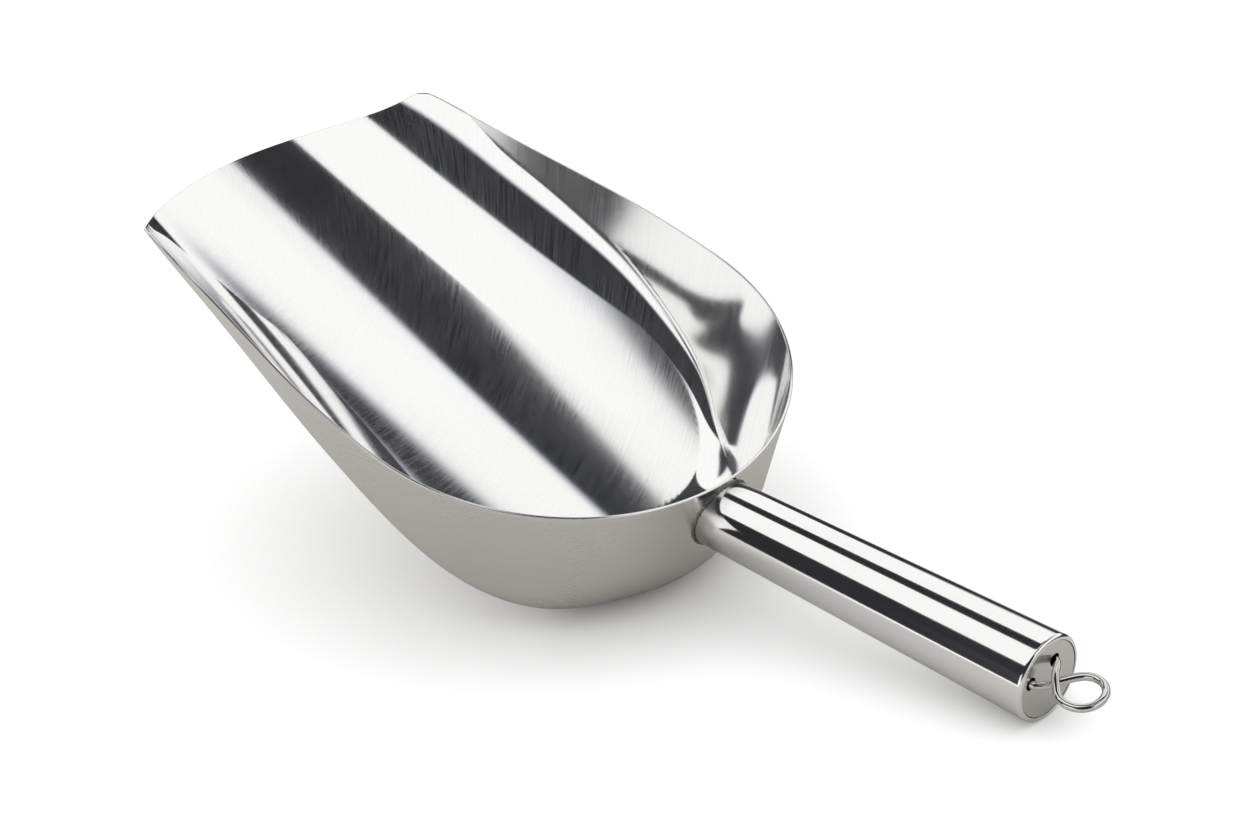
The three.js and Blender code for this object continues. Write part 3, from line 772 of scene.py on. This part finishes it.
def add_haze(graph, output, shader, vector, patches, amount):
    """Fine rough hairlines in the polish, stronger in some patches."""
    hairs = graph.streaks(vector, 2100.0, (1.0, 0.0045, 1.0), detail=4.0, roughness=0.75)
    lines = graph.times(graph.minus(hairs, 0.40), 3.2, clamp=True)
    zones = graph.plus(0.25, graph.times(graph.minus(patches, 0.35), 2.6, clamp=True))
    factor = graph.times(graph.times(lines, zones), amount)
    rough = graph.add("BsdfPrincipled", {
        "Metallic": 1.0, "Roughness": 0.36, "Base Color": (0.97, 0.975, 0.985, 1)})
    mixed = graph.add("MixShader", {0: factor, 1: shader.outputs[0], 2: rough.outputs[0]})
    graph.feed(output, {0: mixed.outputs[0]})


def steel(name, tones, roughness, streak_scale, stretch, streak_roughness, bump, blotch=0.05,
          arc_center=None, anisotropy=0.0, haze=0.0):
    """Brushed or polished steel.

    streak_roughness and blotch: how far brush marks and wide patches change the roughness.
    arc_center: plan point in mm; the brush marks are arcs round it.
    """
    material = bpy.data.materials.new(name)
    material.use_nodes = True
    graph = Graph(material.node_tree)
    graph.tree.nodes.clear()
    output = graph.add("OutputMaterial")
    shader = graph.add("BsdfPrincipled", {"Metallic": 1.0})
    graph.feed(output, {0: shader.outputs[0]})
    position = graph.add("TexCoord").outputs["Object"]
    vector = position
    if arc_center is not None:
        vector, tangent = arc_coordinates(graph, position, arc_center)
        graph.feed(shader, {"Anisotropic": anisotropy, "Tangent": tangent})
    wide = graph.streaks(vector, streak_scale, stretch, detail=5.0, roughness=0.65)
    fine = graph.streaks(vector, streak_scale * 3.1, stretch, detail=3.0, roughness=0.7)
    patches = graph.streaks(position, 14.0, (1, 1, 1), detail=3.0, roughness=0.55)
    marks = graph.plus(graph.times(wide, 0.6), graph.times(fine, 0.4))
    varied = graph.plus(roughness, graph.times(graph.minus(marks, 0.5), streak_roughness))
    varied = graph.plus(varied, graph.times(graph.minus(patches, 0.5), blotch))
    relief = graph.add("Bump", {"Strength": bump, "Distance": 0.0002, "Height": marks})
    graph.feed(shader, {
        "Roughness": graph.math("MAXIMUM", varied, 0.01),
        "Base Color": graph.mix_color(marks, (*tones[0], 1), (*tones[1], 1)),
        "Normal": relief.outputs[0],
    })
    if haze:
        add_haze(graph, output, shader, vector, patches, haze)
    return material


def shade_and_dull_beside_weld(material):
    """Paints shade into the tube's colour over the first millimetres beside the weld, and makes
    the tube rougher there.
    """
    graph = Graph(material.node_tree)
    shader = next(n for n in graph.tree.nodes if n.type == "BSDF_PRINCIPLED")
    color, roughness = (shader.inputs[key].links[0].from_socket
                        for key in ("Base Color", "Roughness"))
    position = graph.add("TexCoord").outputs["Object"]
    offset = graph.vector("SUBTRACT", {0: position, 1: tuple(to_row(TUBE_START))})[0]
    along = graph.vector("DOT_PRODUCT", {0: offset, 1: tuple(dir_row(TUBE_OUT))})["Value"]
    noise = graph.add("TexNoise", {"Scale": 260.0, "Detail": 3.0, "Vector": position})
    ragged = graph.times(graph.minus(noise.outputs["Fac"], 0.5), 0.006)
    # painted shade: the colour darkens towards the weld; the roughness rises there as well
    shade_and_dull = graph.smoothstep(graph.plus(along, ragged), low=0.0015, high=0.014,
                            at_low=1.0, at_high=0.0)
    graph.feed(shader, {
        "Base Color": graph.mix_color(shade_and_dull, color, (0.40, 0.395, 0.40, 1)),
        "Roughness": graph.plus(roughness, graph.times(shade_and_dull, 0.10)),
    })


inside_steel = steel(
    "bowl_inside_polished", tones_of((0.985, 0.983, 0.975)), roughness=0.066,
    streak_scale=2600.0, stretch=(1.0, 0.0035, 1.0), streak_roughness=0.20, bump=0.003,
    blotch=0.03, arc_center=(175.0, 58.0), anisotropy=0.95, haze=0.12)
outside_steel = steel(
    "bowl_outside_satin", ((0.823, 0.809, 0.784), (0.852, 0.837, 0.812)), roughness=0.27,
    streak_scale=900.0, stretch=(0.012, 0.012, 1.0), streak_roughness=0.03, bump=0.001,
    blotch=0.08)
edge_steel = steel(
    "bowl_rim_edge", tones_of((0.88, 0.875, 0.865)), roughness=0.12,
    streak_scale=900.0, stretch=(0.2, 0.2, 1.0), streak_roughness=0.08, bump=0.05)
tube_steel = steel(
    "tube_mirror_polish", tones_of((0.95, 0.945, 0.935)), roughness=0.085,
    streak_scale=1100.0, stretch=(0.06, 1.0, 1.0), streak_roughness=0.06, bump=0.006)
shade_and_dull_beside_weld(tube_steel)
weld_steel = steel(
    "weld_bead_steel", tones_of((0.24, 0.225, 0.21)), roughness=0.30,
    streak_scale=320.0, stretch=(1, 1, 1), streak_roughness=0.25, bump=0.5, blotch=0.2)
cap_steel = steel(
    "cap_satin", tones_of((0.74, 0.735, 0.715)), roughness=0.20,
    streak_scale=900.0, stretch=(1.0, 0.05, 1.0), streak_roughness=0.10, bump=0.02)
wire_steel = steel(
    "wire_mirror_polish", tones_of((0.74, 0.73, 0.72)), roughness=0.045,
    streak_scale=900.0, stretch=(1, 1, 0.2), streak_roughness=0.03, bump=0.01, blotch=0.015)

# ---------------------------------------------------------------- the pieces
# builder, materials in slot order, body, CAD node, slot name
PIECES = [
    (bowl_piece, (outside_steel, inside_steel, edge_steel), "scoop", "scoop_bowl", "bowl_steel"),
    (tube_piece, (tube_steel,), "scoop", "handle_tube", "tube_steel"),
    (weld_piece, (weld_steel,), "scoop", "handle_weld", "weld_steel"),
    (cap_piece, (cap_steel,), "scoop", "end_cap", "cap_steel"),
    (loop_piece, (wire_steel,), "loop", "hanging_loop", "wire_steel"),
]
for build, materials, body, node_name, slot_name in PIECES:
    piece = build()
    for material in materials:
        piece.data.materials.append(material)
    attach(piece, body)
    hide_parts(node_name)
# the hidden CAD nodes keep a material of the same finish
for build, materials, body, node_name, slot_name in PIECES:
    cad_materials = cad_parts[node_name].data.materials
    cad_materials.clear()
    cad_materials.append(materials[0])

# ---------------------------------------------------------------- floor
FLOOR_HALF = 30.0           # metres
FLOOR_ALBEDO = 0.86
FLOOR_LEVEL = 1.30          # brightness of the lit floor


def floor_material():
    """Pale floor; in reflections only it shows painted shade in grey and dark zones. Places in
    metres.
    """
    material = bpy.data.materials.new("pale_floor")
    material.use_nodes = True
    graph = Graph(material.node_tree)
    noise = graph.add("TexNoise", {"Scale": 3.0})
    ramp = graph.add("ValToRGB", {0: noise.outputs["Fac"]})
    for element, tone in zip(ramp.color_ramp.elements,
                             (FLOOR_ALBEDO - 0.005, FLOOR_ALBEDO + 0.005)):
        element.color = (tone, tone, tone, 1)
    position = graph.add("NewGeometry").outputs["Position"]
    x, y, z = graph.add("SeparateXYZ", {0: position}).outputs
    # painted shade, seen only in reflections: dark on the -y side, grey in the middle, pale far
    # on the +y side left of a slanted line
    lit = graph.smoothstep(y, low=-0.125, high=-0.10)
    far = graph.smoothstep(y, low=0.22, high=0.50)
    beyond_line = graph.smoothstep(graph.minus(y, graph.times(x, 1.96)), low=-0.10, high=0.02)
    near_color = graph.mix_color(lit, (0.022, 0.022, 0.024, 1), (0.39, 0.383, 0.370, 1))
    reflected = graph.mix_color(graph.times(far, beyond_line), near_color,
                                (0.84, 0.838, 0.83, 1))
    glossy = graph.add("LightPath").outputs["Is Glossy Ray"]
    graph.feed(graph.tree.nodes["Principled BSDF"], {
        "Base Color": graph.mix_color(glossy, ramp.outputs[0], reflected),
        "Roughness": 0.9,
        "Specular IOR Level": 0.0,
    })
    return material


def floor_piece():
    mesh = bpy.data.meshes.new("studio_floor")
    corners = [(FLOOR_HALF * x, FLOOR_HALF * y, 0)
               for x, y in ((-1, -1), (1, -1), (1, 1), (-1, 1))]
    mesh.from_pydata(corners, [], [(0, 1, 2, 3)])
    made = bpy.data.objects.new("studio_floor", mesh)
    bpy.context.scene.collection.objects.link(made)
    mesh.materials.append(floor_material())
    return made


floor_piece()


# ---------------------------------------------------------------- studio
def build_world():
    """Even white light; reflections see a white dome with dark gaps between soft boxes."""
    world = bpy.data.worlds.new("studio")
    bpy.context.scene.world = world
    world.use_nodes = True
    graph = Graph(world.node_tree)
    graph.tree.nodes.clear()
    seen = graph.add("TexCoord").outputs["Generated"]
    x, y, z = graph.add("SeparateXYZ", {0: seen}).outputs

    def linear(of_x, of_y, of_z, constant=0.0):
        total = graph.plus(graph.times(x, of_x), graph.times(y, of_y))
        return graph.plus(graph.plus(total, graph.times(z, of_z)), constant)

    def step(value, soft):
        """0 below zero and 1 above it, blended over +-soft."""
        return graph.smoothstep(value, low=-soft, high=soft)

    def beyond(first, second, inside, soft):
        """1 on the `inside` side of a line; points are x/z, y/z of a direction."""
        normal = unit(np.cross([*first, 1.0], [*second, 1.0]))
        if normal @ np.array([*inside, 1.0]) < 0:
            normal = -normal
        return step(linear(*normal), soft)

    def combine(operation, first, *others):
        for other in others:
            first = graph.math(operation, first, other)
        return first

    def product(*masks):
        return combine("MULTIPLY", *masks)

    def largest(*masks):
        return combine("MAXIMUM", *masks)

    def inverse(mask):
        return graph.minus(1.0, mask)

    # overhead, just towards -y
    gap_right = product(
        beyond((0.578, -0.399), (-0.075, -0.64), inside=(0.3, -0.2), soft=0.012),
        beyond((0.522, -0.047), (-0.13, -0.052), inside=(0.3, -0.2), soft=0.006),
        beyond((-0.19, -0.15), (-0.222, -0.42), inside=(0.3, -0.2), soft=0.006))
    # on the +y and -x sides of the overhead box, save for the side light and the back light
    side_light = product(
        step(linear(-0.891, 0.454, 0), soft=0.03),
        beyond((0.0, 2.2), (-1.0, 2.2), inside=(0, 3.5), soft=0.04))
    gap_left = product(
        largest(beyond((0.79, 0.924), (-0.15, 0.66), inside=(0.3, 2.0), soft=0.01),
                beyond((-0.30, 0.50), (-0.345, 0.10), inside=(-1.0, 0.3), soft=0.01)),
        inverse(side_light))
    back_light = step(linear(-0.80, 0, -0.60), soft=0.05)
    # lower on the -y side
    gap_low = product(
        beyond((0.03, -1.16), (0.50, -2.02), inside=(0.0, -3.0), soft=0.015),
        beyond((0.30, -2.07), (1.15, -3.37), inside=(1.0, 0.0), soft=0.03),
        step(linear(0, -1, 0), soft=0.02))
    # the horizon on the -y side
    horizon = product(step(graph.minus(0.105, z), soft=0.02),
                      step(linear(0, -1, 0), soft=0.05))
    # a row of openings towards +x, ahead of the lip
    waves = graph.math("SINE", graph.plus(graph.times(y, 13.0), graph.times(z, 6.0)))
    openings = product(step(linear(0.92, 0, -0.30, -0.40), soft=0.05), step(waves, soft=0.25))
    # the unlit side of the room, round the camera's direction
    camera_side = step(linear(-0.669, 0.5915, 0.4497, -0.84), soft=0.06)
    dark = largest(gap_right, product(gap_left, inverse(back_light)), gap_low, horizon,
                   openings, camera_side)

    level = graph.plus(0.020, graph.times(inverse(dark), 0.965))
    tone = graph.mix_color(dark, (1.0, 0.998, 0.99, 1), (0.90, 0.93, 1.10, 1))
    light = graph.add("Background", {0: (1, 1, 1, 1), 1: FLOOR_LEVEL / FLOOR_ALBEDO})
    reflected = graph.add("Background", {0: tone, 1: level})
    glossy = graph.add("LightPath").outputs["Is Glossy Ray"]
    mixed = graph.add("MixShader", {0: glossy, 1: light.outputs[0], 2: reflected.outputs[0]})
    graph.add("OutputWorld", {0: mixed.outputs[0]})


build_world()

# ---------------------------------------------------------------- camera
CAMERA_AZIMUTH = math.radians(228.528)      # from -y, towards +x
CAMERA_ELEVATION = math.radians(26.725)
CAMERA_ROLL = math.radians(-9.169)
CAMERA_TARGET = np.array([86.508, -75.816, 0])      # mm, on the floor
CAMERA_DISTANCE = 1244.965                          # mm
SENSOR_WIDTH, LENS = 36.0, 101.98084615             # mm


def build_camera():
    back = np.array([math.sin(CAMERA_AZIMUTH) * math.cos(CAMERA_ELEVATION),
                     -math.cos(CAMERA_AZIMUTH) * math.cos(CAMERA_ELEVATION),
                     math.sin(CAMERA_ELEVATION)])
    level_right = unit(np.cross(-back, [0, 0, 1.0]))
    level_up = np.cross(level_right, -back)
    right = math.cos(CAMERA_ROLL) * level_right + math.sin(CAMERA_ROLL) * level_up
    upward = -math.sin(CAMERA_ROLL) * level_right + math.cos(CAMERA_ROLL) * level_up
    place = (CAMERA_TARGET + back * CAMERA_DISTANCE) / 1000
    data = bpy.data.cameras.new("camera")
    camera = bpy.data.objects.new("camera", data)
    bpy.context.scene.collection.objects.link(camera)
    data.sensor_fit = "HORIZONTAL"
    data.sensor_width = SENSOR_WIDTH
    data.lens = LENS
    data.clip_start = 0.05
    data.clip_end = 100.0
    pose = Matrix.Identity(4)
    for i in range(3):
        pose[i] = (right[i], upward[i], back[i], place[i])
    camera.matrix_world = pose
    bpy.context.scene.camera = camera


build_camera()
view = bpy.context.scene.view_settings
view.view_transform = "Standard"
view.look = "None"
view.exposure = 0.0
view.gamma = 1.0
